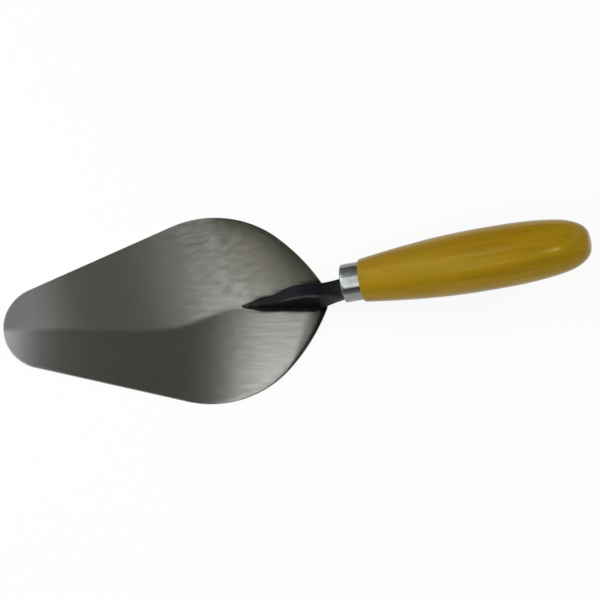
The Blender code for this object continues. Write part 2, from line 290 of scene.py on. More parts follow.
# %% Ground steel finish
def belt_noise(tree, place, far_share, steps, detail, roughness):
    """Noise drawn out along the belt marks of whichever flat the point is on."""
    far, near = (
        noise(tree, turned_place(tree, place, lean, per_metre), detail=detail, roughness=roughness)
        for lean, per_metre in zip((BELT_LEAN_FAR, BELT_LEAN_NEAR), steps)
    )
    far = sums(tree, "MULTIPLY", far, far_share)
    return sums(tree, "MULTIPLY_ADD", near, sums(tree, "SUBTRACT", 1.0, far_share), far)


def mottling(tree, place, far_share, streaks):
    """How much of the dull steel shows."""
    clouds = belt_noise(tree, place, far_share, MOTTLE_STEPS, 3.0, 0.5)
    marks = sums(tree, "MULTIPLY", streaks, STREAK_WEIGHT)
    marks = sums(tree, "MULTIPLY_ADD", clouds, MOTTLE_WEIGHT, marks)
    along = split_axes(tree, place)["X"]
    share = spread(tree, along, MOTTLE_STARTS, MOTTLE_FULL, *MOTTLE_SHARE)
    surplus = spread(tree, along, MOTTLE_FULL, MOTTLE_EASES, *FAR_SURPLUS)
    share = sums(tree, "MULTIPLY", share, sums(tree, "MULTIPLY_ADD", far_share, surplus, 1.0))
    return sums(tree, "MULTIPLY", share, spread(tree, marks, 0.39, 0.61))


def across_the_marks(tree, far_share):
    """A direction across the belt marks of whichever flat the point is on."""
    node = tree.nodes.new("ShaderNodeMix")
    node.data_type = "VECTOR"
    feed(tree, node.inputs[MIX_SHARE], far_share)
    for socket, lean in zip(MIX_VECTORS, (BELT_LEAN_NEAR, BELT_LEAN_FAR)):
        node.inputs[socket].default_value = (-math.sin(lean), math.cos(lean), 0.0)
    return node.outputs[MIX_VECTOR_RESULT]


def make_ground_steel():
    """Belt-ground plate steel."""
    material, tree, shader = new_finish("ground_steel")
    place = object_place(tree)
    far_share = read(tree, "far_flat")
    streaks = belt_noise(tree, place, far_share, STREAK_STEPS, 4.0, 0.6)

    steel = blend_colours(tree, spread(tree, streaks, 0.3, 0.7), *STREAKED_STEEL)
    steel = blend_colours(tree, mottling(tree, place, far_share, streaks), steel, DULL_STEEL)
    # The far flat is made brighter here: painted light.
    steel = blend_colours(tree, far_share, steel, FAR_FLAT_PAINTED_LIGHT, "MULTIPLY")
    # Painted shade along the heel's rim and on the toe's far half, with the neck's painted shadow near the
    # neck.
    steel = blend_colours(tree, read(tree, "painted_rim_and_toe_shade"), steel, RIM_PAINTED_SHADE_COLOUR)
    # A brownish painted shade on the far side of the heel.
    steel = blend_colours(tree, read(tree, "heel_painted_shade"), steel, HEEL_PAINTED_SHADE_GAIN, "MULTIPLY")
    # The foot's painted shadow on the blade beside it.
    steel = blend_colours(tree, read(tree, "foot_painted_shadow"), steel, FOOT_SHADOW_COLOUR)
    feed(tree, shader.inputs["Base Color"], steel)

    shader.inputs["Metallic"].default_value = 1.0
    shader.inputs["Anisotropic"].default_value = 0.95
    feed(tree, shader.inputs["Tangent"], across_the_marks(tree, far_share))
    feed(tree, shader.inputs["Roughness"], spread(tree, streaks, 0.25, 0.75, *STEEL_ROUGHNESS))
    feed(tree, shader.inputs["Normal"], relief(tree, streaks, STREAK_RELIEF))
    return material


ground_steel = make_ground_steel()
print("finish:", ground_steel.name)

# %% [markdown]
# ## The blade's outline
#
# The blade is one plate, and its outline is a chain of arcs that run into each other: a round toe, a
# straight side, a full shoulder, a long flank and a small round heel. A traced list of points would give
# the same line, but arcs stay smooth and can be changed by one radius each. Spinning a single point about
# each arc's centre draws half of the outline, and a mirror makes the other half.

# %% Blade outline
TOE_REACH = 0.1163
HEEL_REACH = 0.0642
HALF_WIDTH = 0.0546
TOE_RADIUS = 0.0242
SHOULDER_RADIUS = 0.0567
FLANK_RADIUS = 0.1135
HEEL_RADIUS = 0.0155
ARC_STEP = math.radians(1.5)
SAME_POINT = 0.00001


def bearing(origin, target):
    """The direction from one point to another."""
    return math.atan2(target.y - origin.y, target.x - origin.x)


def sweep(bm, vert, centre, start, end):
    """Spin a point about a centre and return the last point of the arc."""
    steps = max(3, round(abs(end - start) / ARC_STEP))
    made = bmesh.ops.spin(
        bm, geom=[vert], cent=centre, axis=Z_AXIS, angle=end - start, steps=steps, use_duplicate=False
    )
    return made["geom_last"][0]


def flank_centre(shoulder, heel):
    """The flank's centre: the right distance from both of its neighbours' centres."""
    span = heel - shoulder
    reach = FLANK_RADIUS - SHOULDER_RADIUS
    along = (reach**2 - (FLANK_RADIUS - HEEL_RADIUS) ** 2 + span.length_squared) / (2 * span.length)
    unit = span.normalized()
    return shoulder + unit * along + Vector((unit.y, -unit.x, 0.0)) * math.sqrt(reach**2 - along**2)


def draw_outline():
    """The blade's outline as one closed loop of edges at height 0."""
    toe = Vector((TOE_RADIUS - TOE_REACH, 0.0, 0.0))
    shoulder = Vector((0.0, HALF_WIDTH - SHOULDER_RADIUS, 0.0))
    heel = Vector((HEEL_REACH - HEEL_RADIUS, 0.0, 0.0))
    flank = flank_centre(shoulder, heel)
    side = bearing(toe, shoulder) + math.acos((TOE_RADIUS - SHOULDER_RADIUS) / (shoulder - toe).length)

    bm = bmesh.new()
    tip = bm.verts.new((-TOE_REACH, 0.0, 0.0))
    last = sweep(bm, tip, toe, math.pi, side)
    straight = bmesh.ops.extrude_vert_indiv(bm, verts=[last])["verts"][0]
    straight.co = shoulder + SHOULDER_RADIUS * Vector((math.cos(side), math.sin(side), 0.0))
    last = sweep(bm, straight, shoulder, side, bearing(flank, shoulder))
    last = sweep(bm, last, flank, bearing(flank, shoulder), bearing(flank, heel))
    last = sweep(bm, last, heel, bearing(flank, heel), 0.0)
    bmesh.ops.mirror(bm, geom=bm.verts[:] + bm.edges[:], axis="Y", merge_dist=SAME_POINT)
    bmesh.ops.remove_doubles(bm, verts=bm.verts, dist=SAME_POINT)
    return bm


outline = draw_outline()
print("outline:", len(outline.verts), "points")

# %% [markdown]
# ## The blade's heights and shades
#
# The plate thins towards the toe, and its two flats meet in a soft ridge. The ridge starts at the point of
# the shank's foot, bows away from the middle and comes back to it at the toe. Along the heel's edges the
# grinder has rolled the surface over, and there the plate falls away. A flat plate with a painted ridge
# would look right from one side only, so the ridge is real height, worked out from where a point lies.
#
# The shades are worked out in the same way. The heel gets a dark rim of painted shade, wide and even on the
# far side, and on the near one it grows towards the neck into a painted shadow of the neck. The toe's far
# half gets painted shade too. Beside the foot the blade is painted near black as the foot's shadow, and the
# far side of the heel gets a brownish painted shade.

# %% Blade heights
THICK_AT_HEEL = 0.0021
THICK_AT_TOE = 0.0013
SIDE_FALL = 0.0007 / HALF_WIDTH
RIDGE_BOW, RIDGE_BOW_X = 0.0092, -0.026
RIDGE_SOFTNESS = 0.0018
ROLL_WIDTH = 0.0030
ROLL_DROP = 0.00010
HEEL_STARTS_X, HEEL_EASES_IN = -0.006, 0.022
FOOT_NOSE_X = 0.0164


def ridge_line(x):
    """How far the ridge lies off the middle line at x."""
    if x > RIDGE_BOW_X:
        return -RIDGE_BOW * smoothstep((FOOT_NOSE_X - x) / (FOOT_NOSE_X - RIDGE_BOW_X))
    return -RIDGE_BOW * smoothstep((x + TOE_REACH) / (RIDGE_BOW_X + TOE_REACH))


def heel_share(x):
    """1 along the heel and the flanks, 0 from the shoulders to the toe."""
    return rise(x, HEEL_STARTS_X, HEEL_EASES_IN)


def thickness(x):
    """The plate's thickness on its ridge."""
    return mix(THICK_AT_TOE, THICK_AT_HEEL, (x + TOE_REACH) / (TOE_REACH + HEEL_REACH))


def top_height(x, y, from_edge):
    """Height of the blade's upper face."""
    off_ridge = y - ridge_line(x)
    fall = SIDE_FALL * (math.sqrt(off_ridge**2 + RIDGE_SOFTNESS**2) - RIDGE_SOFTNESS)
    rolled = max(0.0, 1.0 - from_edge / ROLL_WIDTH)
    return thickness(x) - fall - ROLL_DROP * heel_share(x) * rolled**2


print("ridge at the bow:", round(1000 * ridge_line(RIDGE_BOW_X), 1), "mm")

# %% Blade shades
# Painted shade along the heel's rim and at the toe, and a painted shadow of the neck on the near side.
FAR_RIM_DARK, FAR_RIM_START, FAR_RIM_FADE = 0.40, 0.0015, 0.0135
NEAR_RIM_DARK, NEAR_RIM_FADE = 0.33, 0.0045
NECK_SHADOW_X, NECK_SHADOW_DARK = 0.038, (0.70, 0.91)
NECK_DARKENS_X, NECK_DARKENS_OVER = 0.050, 0.010
TOE_PAINTED_SHADE, TOE_FADE = 0.60, 0.032
# Where the brownish painted shade on the far side of the heel lies.
HEEL_SHADE_EDGE_Y, HEEL_SHADE_EDGE_FADE = 0.004, 0.022
HEEL_SHADE_X, HEEL_SHADE_SLANT, HEEL_SHADE_FADE = 0.013, 0.45, 0.030

# How far out the foot's painted shadow reaches at its start and at the heel, then for each side the extra
# reach towards the heel and the width of the soft edge.
FOOT_SHADOW_START, FOOT_SHADOW_LENGTH = 0.006, 0.040
FOOT_SHADOW_REACH = (0.0036, 0.0062)
FOOT_SHADOW_FAR_SIDE = (0.0034, 0.0022)
FOOT_SHADOW_NEAR_SIDE = (0.0008, 0.0016)


def painted_rim_shade(x, y, from_edge):
    """How much painted shade the heel's rim gets, with a painted shadow of the neck on the near side."""
    if y > 0:
        return FAR_RIM_DARK * heel_share(x) * (1.0 - rise(from_edge, FAR_RIM_START, FAR_RIM_FADE))
    neck_shadow_width = max(x - NECK_SHADOW_X, 0.0001)
    dark = mix(*NECK_SHADOW_DARK, rise(x, NECK_DARKENS_X, NECK_DARKENS_OVER))
    neck_shadow = dark * (1.0 - smoothstep(from_edge / neck_shadow_width / 0.9 - 0.1))
    return max(neck_shadow, NEAR_RIM_DARK * heel_share(x) * (1.0 - rise(from_edge, 0.0, NEAR_RIM_FADE)))


def foot_painted_shadow(x, y):
    """How dark the foot's painted shadow makes the blade: dense beside the foot, widest near the heel."""
    along = (x - FOOT_NOSE_X - FOOT_SHADOW_START) / FOOT_SHADOW_LENGTH
    extra, soft_edge = FOOT_SHADOW_FAR_SIDE if y > 0 else FOOT_SHADOW_NEAR_SIDE
    reach = mix(*FOOT_SHADOW_REACH, smoothstep(along)) + extra * smoothstep(along * 1.4 - 0.2)
    return smoothstep((reach + soft_edge - abs(y)) / soft_edge) * smoothstep(along / 0.3 + 0.3)


def heel_painted_shade_share(x, y):
    """How much brownish painted shade the plate gets: most on the far side of the heel."""
    away = mix(0.5, 1.0, rise(y, HEEL_SHADE_EDGE_Y, HEEL_SHADE_EDGE_FADE))
    return away * rise(x + HEEL_SHADE_SLANT * y, HEEL_SHADE_X, HEEL_SHADE_FADE)


print("spray at the heel:", round(foot_painted_shadow(HEEL_REACH, FOOT_SHADOW_REACH[0]), 2))

# %% [markdown]
# ## The blade's plate
#
# The outline is filled and drawn up into a plate. Its upper face is then cut into a fine net, so that its
# heights can vary: narrow rings along the edge, which carry the rolled rim, and small squares inside them.
# A Subdivision modifier would be shorter, but it would pull in the outline. The heights are set, the upper
# and lower rims are bevelled by a quarter of a millimetre, and each point stores its shades.

# %% Blade plate
BORDER_STEPS = 20
RING_WIDTHS = (0.0006, 0.0008, 0.0009, 0.0010, 0.0011, 0.0012)
NET = 0.002
NET_COLUMNS, NET_ROWS = range(-57, 32), range(-26, 27)
FACES_UP, STANDS_UPRIGHT = 0.9, 0.5
EDGE_ROUNDING = 0.00028


def border_points(bm):
    """Points close together along the outline, in a tree that finds the nearest one."""
    border = KDTree(BORDER_STEPS * len(bm.edges))
    for number, edge in enumerate(bm.edges):
        a, b = (v.co.copy() for v in edge.verts)
        for i in range(BORDER_STEPS):
            border.insert(mix(a, b, i / BORDER_STEPS), BORDER_STEPS * number + i)
    border.balance()
    return border


def draw_up(bm):
    """Fill the outline and draw it up into a plate of even thickness."""
    bmesh.ops.contextual_create(bm, geom=bm.edges[:])
    drawn = bmesh.ops.extrude_face_region(bm, geom=bm.faces[:])
    lifted = [v for v in drawn["geom"] if isinstance(v, bmesh.types.BMVert)]
    bmesh.ops.translate(bm, verts=lifted, vec=(0.0, 0.0, THICK_AT_HEEL))
    bmesh.ops.recalc_face_normals(bm, faces=bm.faces)


def net_top(bm):
    """Cut the upper face into rings along its edge and squares inside them."""
    upper = [f for f in bm.faces if f.normal.z > FACES_UP]
    for width in RING_WIDTHS:
        bmesh.ops.inset_region(bm, faces=upper, thickness=width, use_even_offset=True, use_boundary=True)

    cuts = [(X_AXIS * (i * NET), X_AXIS) for i in NET_COLUMNS]
    cuts += [(Y_AXIS * (i * NET), Y_AXIS) for i in NET_ROWS]
    for point, normal in cuts:
        upper = [f for f in bm.faces if f.normal.z > FACES_UP]
        geometry = {e for f in upper for e in f.edges} | {v for f in upper for v in f.verts}
        bmesh.ops.bisect_plane(bm, geom=[*geometry, *upper], plane_co=point, plane_no=normal, dist=0.00002)
    bmesh.ops.remove_doubles(bm, verts=bm.verts, dist=0.00004)


def set_heights(bm, border):
    """Lay the upper face's points on the two flats."""
    for vert in bm.verts:
        if vert.co.z > THICK_AT_HEEL / 2:
            flat = Vector((vert.co.x, vert.co.y, 0.0))
            vert.co.z = top_height(flat.x, flat.y, border.find(flat)[2])


def round_edges(bm):
    """Bevel the upper and lower rims."""
    walls = [f for f in bm.faces if abs(f.normal.z) < STANDS_UPRIGHT]
    wall_edges = {e for f in walls for e in f.edges}
    rims = [e for e in wall_edges if sum(f in walls for f in e.link_faces) == 1]
    bmesh.ops.bevel(
        bm, geom=rims, offset=EDGE_ROUNDING, offset_type="OFFSET", affect="EDGES",
        segments=3, profile=0.5, material=-1, clamp_overlap=True,
    )


def store_shades(bm, border):
    """Note on each point which flat it is on and how much painted shade and shadow it gets."""
    far, painted_rim, foot_shadow, heel_painted_shade = (
        bm.verts.layers.float.new(name) for name in ("far_flat", "painted_rim_and_toe_shade", "foot_painted_shadow", "heel_painted_shade")
    )
    for vert in bm.verts:
        x, y = vert.co.xy
        from_edge = border.find(Vector((x, y, 0.0)))[2]
        vert[far] = smoothstep(0.5 + (y - ridge_line(x)) / (2 * RIDGE_SOFTNESS))
        # Painted shade on the toe's far half.
        toe_shade = TOE_PAINTED_SHADE * vert[far] * (1.0 - rise(x, -TOE_REACH, TOE_FADE))
        vert[painted_rim] = max(painted_rim_shade(x, y, from_edge), toe_shade)
        vert[foot_shadow] = foot_painted_shadow(x, y)
        vert[heel_painted_shade] = vert[far] * heel_painted_shade_share(x, y)


def make_blade(bm):
    """The whole blade from its outline."""
    border = border_points(bm)
    draw_up(bm)
    net_top(bm)
    set_heights(bm, border)
    round_edges(bm)
    store_shades(bm, border)
    return bm


finish_piece(make_blade(outline), "blade_plate", "blade", ground_steel)

# %% [markdown]
# ## Black enamel
#
# The shank is a forging, dipped in black enamel. The enamel has a slight orange-peel skin and a soft shine.
# Along the crease on top of the foot a lighter grey line is put in as a painted highlight, and at the
# pointed nose the file has gone through the enamel to brownish bare metal. Both could be found from the
# mesh's sharp edges, but that needs baking, so both are stored on the piece's points when the shank is
# made, and noise breaks them up.

# %% Black enamel finish
ENAMEL = ((0.0032, 0.0035, 0.0055), (0.0075, 0.008, 0.010))
# A lighter grey painted highlight along the crease.
CREASE_PAINTED_HIGHLIGHT = (0.060, 0.062, 0.070)
FILED_METAL = (0.034, 0.032, 0.027)
FILED_METALLIC = 0.6
ENAMEL_ROUGHNESS = (0.38, 0.52)
SKIN_RELIEF = 0.00002


def make_black_enamel():
    """Semi-gloss black enamel over a forging."""
    material, tree, shader = new_finish("black_enamel")
    place = object_place(tree)
    skin = noise(tree, place, 900.0, detail=2.0)
    dust = noise(tree, place, 260.0, detail=4.0, roughness=0.65)
    black = blend_colours(tree, spread(tree, dust, 0.45, 0.75), *ENAMEL)
    # A painted highlight along the crease, broken up by noise.
    crease_glint = sums(tree, "MULTIPLY", read(tree, "crease_highlight"), spread(tree, dust, 0.35, 0.6, 0.35, 1.0))
    black = blend_colours(tree, crease_glint, black, CREASE_PAINTED_HIGHLIGHT)
    bare = sums(tree, "MULTIPLY", read(tree, "bare"), spread(tree, dust, 0.3, 0.55))
    feed(tree, shader.inputs["Base Color"], blend_colours(tree, bare, black, FILED_METAL))
    feed(tree, shader.inputs["Metallic"], sums(tree, "MULTIPLY", bare, FILED_METALLIC))
    feed(tree, shader.inputs["Roughness"], spread(tree, dust, 0.3, 0.7, *ENAMEL_ROUGHNESS))
    shader.inputs["Specular IOR Level"].default_value = 0.1
    feed(tree, shader.inputs["Normal"], relief(tree, skin, SKIN_RELIEF))
    return material


black_enamel = make_black_enamel()
print("finish:", black_enamel.name)

# %% [markdown]
# ## The shank
#
# A smith would draw this piece out of one bar, and the mesh is made the same way: one small face is
# extruded from section to section, and its points are laid on each section in turn. A bevelled curve would
# be quicker, but it keeps one section all along, and here the section changes all the way. The foot starts
# as a point on the blade and rises like a keel. The neck then swings up and away from the heel, and leans a
# little to one side and low in the ferrule. Last comes the tang, which nobody sees, in the wood.

# %% Drawing out a bar
FIRST_RADIUS = 0.001
# How much painted highlight each corner of a section gets along the crease.
CREASE_RING = {9: 0.8, 10: 1.0, 11: 0.7}
CREASE_REACH = 0.0007


def draw_out(sections):
    """Extrude one face through a row of sections with equal numbers of points."""
    bm = bmesh.new()
    bmesh.ops.create_circle(bm, cap_ends=True, segments=len(sections[0]), radius=FIRST_RADIUS)
    corner = bm.verts.layers.int.new("corner")
    face = bm.faces[:][0]
    bmesh.ops.duplicate(bm, geom=[face])
    for section in sections:
        if section is not sections[0]:
            face = bmesh.ops.extrude_discrete_faces(bm, faces=[face])["faces"][0]
        for i, (vert, point) in enumerate(zip(face.verts, section)):
            vert.co = point
            vert[corner] = i
    bmesh.ops.remove_doubles(bm, verts=bm.verts, dist=0.000002)
    bmesh.ops.recalc_face_normals(bm, faces=bm.faces)
    print("drawn through", len(sections), "sections, closed:", all(e.is_manifold for e in bm.edges))
    return bm


def bar_section(low, high, half_low, half_high, corner_low, corner_high):
    """A bar's section from its lowest to its highest points, with rounded corners.

    Beside each upper corner stands one more point, so that the painted highlight along the crease has a
    soft edge.
    """
    up = (high - low).normalized()
    taper = (half_high - half_low) / (high - low).length
    tuck = 1.0 - math.sqrt(0.5)
    ring = []
    for side in (1.0, -1.0):
        half = []
        for out, above in ((1.0, 0.0), (tuck, tuck), (0.0, 1.0)):
            wide = half_low - out * corner_low + taper * above * corner_low
            half.append(low + Y_AXIS * side * wide + up * above * corner_low)
        for out, below in ((0.0, 1.0), (tuck, tuck), (1.0, 0.0)):
            wide = half_high - out * corner_high - taper * below * corner_high
            half.append(high + Y_AXIS * side * wide - up * below * corner_high)
        reach = min(CREASE_REACH, (half_high - corner_high) / 2)
        half.insert(3, half[3] - up * reach - Y_AXIS * side * taper * reach)
        half.append(half[-1] - Y_AXIS * side * reach)
        ring += half if side > 0 else half[::-1]
    return ring


def smooth_table(rows, steps):
    """A table of stations with smooth rows added between its own."""
    rows = [Vector(row) for row in rows]
    padded = [2 * rows[0] - rows[1], *rows, 2 * rows[-1] - rows[-2]]
    table = []
    for before, start, end, after in zip(padded, padded[1:], padded[2:], padded[3:]):
        for i in range(steps):
            t = i / steps
            pull, push = (end - before) / 2, (after - start) / 2
            table.append(
                start * (2 * t**3 - 3 * t**2 + 1)
                + pull * (t**3 - 2 * t**2 + t)
                + end * (3 * t**2 - 2 * t**3)
                + push * (t**3 - t**2)
            )
    return table + [rows[-1]]


def bezier(a, b, c, d, t):
    """A point on a cubic curve."""
    return a * (1 - t) ** 3 + b * 3 * t * (1 - t) ** 2 + c * 3 * t * t * (1 - t) + d * t**3


print("bar helpers ready")

# %% Shank sizes
CLEARANCE = 0.0003

# Distance behind the nose, half width at the base, half width at the top, height.
FOOT_STATIONS = (
    (0.0000, 0.0008, 0.0005, 0.0009),
    (0.0065, 0.0017, 0.0012, 0.0024),
    (0.0130, 0.0027, 0.0020, 0.0046),
    (0.0190, 0.0033, 0.0029, 0.0078),
    (0.0250, 0.0039, 0.0037, 0.0124),
    (0.0310, 0.0045, 0.0039, 0.0149),
    (0.0380, 0.0053, 0.0040, 0.0158),
    (0.0434, 0.0059, 0.0041, 0.0156),
)
FOOT_STEPS = 5
FOOT_CORNER = 0.0007
LEAN_START = 0.0300

AXIS_RISE = math.radians(11.5)
AXIS = Vector((math.cos(AXIS_RISE), 0.0, math.sin(AXIS_RISE)))
AXIS_UP = Vector((-math.sin(AXIS_RISE), 0.0, math.cos(AXIS_RISE)))
FERRULE_FRONT = Vector((0.0731, 0.0, 0.0220))
FERRULE_BORE = 0.0098

# The neck ends aside of the ferrule's middle and below it, by these shares of the bore.
NECK_ASIDE, NECK_BELOW = 0.15, 0.40
NECK_END = FERRULE_FRONT - AXIS * CLEARANCE
NECK_END = NECK_END - Y_AXIS * NECK_ASIDE * FERRULE_BORE - AXIS_UP * NECK_BELOW * FERRULE_BORE
NECK_WIDTH, NECK_THICKNESS, NECK_CORNER = 0.0116, 0.0050, 0.0009
NECK_LEAVES, NECK_ARRIVES = math.radians(54), math.radians(30)
NECK_STEPS = 18

TANG_END = FERRULE_FRONT + AXIS * 0.068
TANG_WIDTH, TANG_HEIGHT = (0.0056, 0.0028), (0.0046, 0.0028)
TANG_CORNER = 0.0005
TANG_STEPS = 6

print("neck ends at", [round(1000 * c, 1) for c in NECK_END], "mm")

# %% Shank sections
def foot_base(x):
    """Height of the foot's underside."""
    return thickness(x) + CLEARANCE


def setover(x):
    """How far the shank has leant to one side at x."""
    start = FOOT_NOSE_X + LEAN_START
    return NECK_END.y * rise(x, start, NECK_END.x - start)


def foot_sections():
    """Upright sections from the nose to the heel."""
    sections = []
    for distance, half_base, half_top, height in smooth_table(FOOT_STATIONS, FOOT_STEPS):
        x = FOOT_NOSE_X + distance
        low = Vector((x, setover(x), foot_base(x)))
        corner = min(FOOT_CORNER, half_top / 2, height / 3)
        sections.append(bar_section(low, low + Z_AXIS * height, half_base, half_top, corner / 4, corner))
    return sections


def neck_sections():
    """Sections that swing from upright at the heel to square with the handle."""
    distance, half_base, half_top, height = FOOT_STATIONS[-1]
    x = FOOT_NOSE_X + distance
    low_start = Vector((x, 0.0, foot_base(x)))
    high_start = low_start + Z_AXIS * height
    low_end = NECK_END - AXIS_UP * NECK_THICKNESS / 2
    high_end = NECK_END + AXIS_UP * NECK_THICKNESS / 2
    low_end.y = high_end.y = 0.0
    leave, arrive = (Vector((math.cos(a), 0.0, math.sin(a))) for a in (NECK_LEAVES, NECK_ARRIVES))
    low_pull = (low_end - low_start).length / 3
    high_pull = (high_end - high_start).length / 3
    sections = []
    for i in range(1, NECK_STEPS + 1):
        t = i / NECK_STEPS
        low = bezier(low_start, low_start + leave * low_pull, low_end - arrive * low_pull, low_end, t)
        high = bezier(
            high_start, high_start + X_AXIS * high_pull, high_end - arrive * high_pull, high_end, t
        )
        blend = smoothstep(t)
        low.y = high.y = mix(setover(x), NECK_END.y, blend)
        sections.append(bar_section(
            low, high, mix(half_base, NECK_WIDTH / 2, blend), mix(half_top, NECK_WIDTH / 2, blend),
            mix(FOOT_CORNER / 4, NECK_CORNER, blend), mix(FOOT_CORNER, NECK_CORNER, blend),
        ))
    return sections


def tang_sections(play, lead):
    """Sections of the tapered tang, grown by play on every side and lengthened in front by lead."""
    run = (TANG_END - NECK_END).normalized()
    sections = []
    for i in range(TANG_STEPS + 1):
        t = i / TANG_STEPS
        shift = -lead if i == 0 else play if i == TANG_STEPS else 0.0
        centre = mix(NECK_END, TANG_END, t) + run * shift
        half_width = mix(*TANG_WIDTH, t) / 2 + play
        lift = AXIS_UP * (mix(*TANG_HEIGHT, t) / 2 + play)
        low, high = centre - lift, centre + lift
        sections.append(bar_section(low, high, half_width, half_width, TANG_CORNER, TANG_CORNER))
    return sections


print("foot sections:", len(foot_sections()))

# %% Shank
FILED_REACH, FILED_FADE = 0.004, 0.006
CREASE_X, CREASE_EASES_IN = 0.034, 0.010
CREASE_DIMS_X, CREASE_DIMS_OVER, CREASE_DIM = 0.054, 0.008, 0.45


def filed_share(x):
    """How much of the enamel the file has taken off: all of it at the nose."""
    return 1.0 - rise(x - FOOT_NOSE_X, FILED_REACH, FILED_FADE)


def make_shank():
    """Foot, neck and tang in one."""
    bm = draw_out(foot_sections() + neck_sections() + tang_sections(0.0, 0.0))
    crease_highlight = bm.verts.layers.float.new("crease_highlight")
    bare = bm.verts.layers.float.new("bare")
    corner = bm.verts.layers.int["corner"]
    for vert in bm.verts:
        x = vert.co.x
        vert[bare] = filed_share(x)
        # The crease's painted highlight fades in behind the nose and dims towards the neck.
        shown = rise(x, CREASE_X, CREASE_EASES_IN)
        shown *= mix(1.0, CREASE_DIM, rise(x, CREASE_DIMS_X, CREASE_DIMS_OVER))
        vert[crease_highlight] = shown * CREASE_RING.get(vert[corner], 0.0)
    return bm


finish_piece(make_shank(), "shank_forging", "shank", black_enamel)

# %% [markdown]
# ## The weld beads
#
# Two fillet welds hold the foot to the blade. Under the enamel they read as a soft slope between the two,
# with faint ripples where each drop of weld froze. A tube along the seam would stand proud of it like a
# cord. So each bead is drawn out like the shank, with a section that is a quarter round, and sinks a little
# into both pieces, as a real weld does.

# %% Weld beads
WELD_START, WELD_END, WELD_STEPS = 0.0020, 0.0422, 90
WELD_SINK = 0.0005
WELD_LEG, WELD_LEG_SHARE = 0.0017, 0.55
RIPPLE_SHARE, RIPPLE_LENGTH = 0.05, 0.0017
WELD_EASES_IN, WELD_EASES_OUT, WELD_END_SHARE = 0.009, 0.003, 0.25
WELD_SAG = 0.10
WELD_FACE_STEPS = 5


def foot_at(distance):
    """Half width at the base, half width at the top, and height of the foot there."""
    rows = smooth_table(FOOT_STATIONS, FOOT_STEPS)
    near = max(i for i, row in enumerate(rows[:-1]) if row[0] <= distance)
    share = (distance - rows[near][0]) / (rows[near + 1][0] - rows[near][0])
    return mix(rows[near], rows[near + 1], share)[1:]


def weld_section(distance, side):
    """Section of one bead at a distance from the foot's nose."""
    half_base, half_top, height = foot_at(distance)
    ripple = 1.0 + RIPPLE_SHARE * math.sin(2 * math.pi * distance / RIPPLE_LENGTH)
    run_out = rise(distance, WELD_START, WELD_EASES_IN) * smoothstep((WELD_END - distance) / WELD_EASES_OUT)
    leg = min(WELD_LEG * ripple * mix(WELD_END_SHARE, 1.0, run_out), WELD_LEG_SHARE * height)
    x = FOOT_NOSE_X + distance
    base = thickness(x)
    lean = (half_top - half_base) / height
    points = [(half_base - WELD_SINK, base - WELD_SINK), (half_base + leg, base - WELD_SINK)]
    for i in range(WELD_FACE_STEPS + 1):
        t = i / WELD_FACE_STEPS
        sag = WELD_SAG * leg * math.sin(math.pi * t)
        points.append((half_base + mix(leg, lean * leg, t) - sag, base + mix(0.0, leg, t) - sag))
    points.append((half_base + lean * leg - WELD_SINK, base + leg))
    return [Vector((x, side * y + setover(x), z)) for y, z in points]


def make_weld(side):
    """One bead from just behind the nose to just short of the heel."""
    distances = [mix(WELD_START, WELD_END, i / WELD_STEPS) for i in range(WELD_STEPS + 1)]
    bm = draw_out([weld_section(distance, side) for distance in distances])
    # The finish reads the crease's painted highlight here too, which stays 0 on a bead.
    bm.verts.layers.float.new("crease_highlight")
    bare = bm.verts.layers.float.new("bare")
    for vert in bm.verts:
        vert[bare] = filed_share(vert.co.x)
    return bm


for name, side in (("weld_left", 1.0), ("weld_right", -1.0)):
    finish_piece(make_weld(side), name + "_bead", name, black_enamel)

# %% [markdown]
# ## Bright steel
#
# The ferrule is a short piece of bright steel tube. It was polished as it turned in the lathe, so the
# finest marks run round it. Rings could be cut into the mesh, but they are finer than any net, so they are
# noise that is squeezed along the handle. The finish works in the handle's own frame, where Z runs along
# the handle: the Mapping node turns the object's coordinates into it.

# %% Bright steel finish
HANDLE_TURN = (0.0, math.pi / 2 - AXIS_RISE, 0.0)
TURNING_STEPS = (8.0, 8.0, 2600.0)
HAZE_SCALE = 170.0
BRIGHT_STEEL = ((0.24, 0.25, 0.25), (0.205, 0.214, 0.214))
BRIGHT_ROUGHNESS = (0.12, 0.18)
HAZE_ROUGHNESS = (0.0, 0.06)
TURNING_RELIEF = 0.000003


def handle_place(tree):
    """Where a point is in the handle's own frame."""
    node = tree.nodes.new("ShaderNodeMapping")
    node.vector_type = "TEXTURE"
    feed(tree, node.inputs["Vector"], object_place(tree))
    node.inputs["Location"].default_value = FERRULE_FRONT
    node.inputs["Rotation"].default_value = HANDLE_TURN
    return node.outputs["Vector"]


def make_bright_steel():
    """Polished tube steel with faint turning marks."""
    material, tree, shader = new_finish("bright_steel")
    place = handle_place(tree)
    marks = noise(tree, turned_place(tree, place, per_metre=TURNING_STEPS))
    haze = noise(tree, place, HAZE_SCALE)
    tone = blend_colours(tree, spread(tree, haze, 0.35, 0.7), *BRIGHT_STEEL)
    feed(tree, shader.inputs["Base Color"], tone)
    shader.inputs["Metallic"].default_value = 1.0
    rough = spread(tree, marks, 0.3, 0.7, *BRIGHT_ROUGHNESS)
    rough = sums(tree, "ADD", rough, spread(tree, haze, 0.4, 0.7, *HAZE_ROUGHNESS))
    feed(tree, shader.inputs["Roughness"], rough)
    feed(tree, shader.inputs["Normal"], relief(tree, marks, TURNING_RELIEF))
    return material


bright_steel = make_bright_steel()
print("finish:", bright_steel.name)

# %% [markdown]
# ## The ferrule
#
# A tube with a rounded front edge that turns in over the wood is a turned shape. A cylinder with a bevel
# would come close, but a profile can also hold the small lip and the slight swell. So the profile is drawn
# once and spun about the handle's axis.

